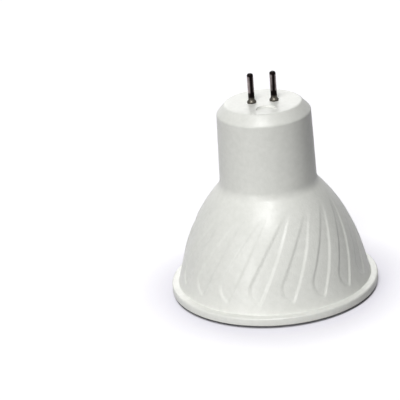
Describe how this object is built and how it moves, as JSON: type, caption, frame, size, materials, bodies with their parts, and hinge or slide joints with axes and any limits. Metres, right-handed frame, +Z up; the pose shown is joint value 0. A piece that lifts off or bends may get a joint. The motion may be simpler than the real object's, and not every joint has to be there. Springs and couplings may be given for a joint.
{
  "type": "led reflector spot lamp",
  "caption": "White reflector spot lamp: fluted moulded bell and neck, clear lens in a slotted front ring, LED and driver inside, contact pins on top.",
  "frame": {"origin": "centre of the rim's front plane, on which the lamp stands", "axes": "+Z up the lamp's axis to the contact pins, +X from the left pin to the right pin, -Y towards the side with the round recess in the top face"},
  "size_m": [0.05, 0.05, 0.0538],
  "materials": {
    "white_plastic": "satin, fine moulded grain",
    "clear_lens": "clear moulded plastic, polished",
    "plated_pin": "dull nickel plate",
    "pressed_aluminium": "pressed, satin",
    "white_board": "white solder mask",
    "led_ceramic": "white ceramic",
    "phosphor": "yellow phosphor in silicone",
    "screw_steel": "zinc plated",
    "circuit_board": "green solder mask",
    "ferrite": "sintered ferrite",
    "copper_wire": "enamelled copper",
    "can_aluminium": "drawn",
    "black_package": "moulded epoxy",
    "resistor_body": "glazed black",
    "capacitor_body": "fired ceramic",
    "red_insulation": "PVC insulation",
    "black_insulation": "PVC insulation"
  },
  "bodies": {
    "root": {"housing": "white_plastic", "front_ring": "white_plastic", "lens": "clear_lens", "contact_pin_left": "plated_pin", "contact_pin_right": "plated_pin", "heat_sink_cup": "pressed_aluminium", "led_board": "white_board", "led_base": "led_ceramic", "led_phosphor": "phosphor", "board_screws": "screw_steel", "driver_board": "circuit_board", "inductor_core": "ferrite", "inductor_winding": "copper_wire", "capacitor_base": "black_package", "capacitor_can": "can_aluminium", "bridge_rectifier": "black_package", "driver_chip": "black_package", "flyback_diode": "black_package", "sense_resistors": "resistor_body", "ceramic_capacitors": "capacitor_body", "lead_wire_positive": "red_insulation", "lead_wire_negative": "black_insulation"}
  },
  "joints": []
}
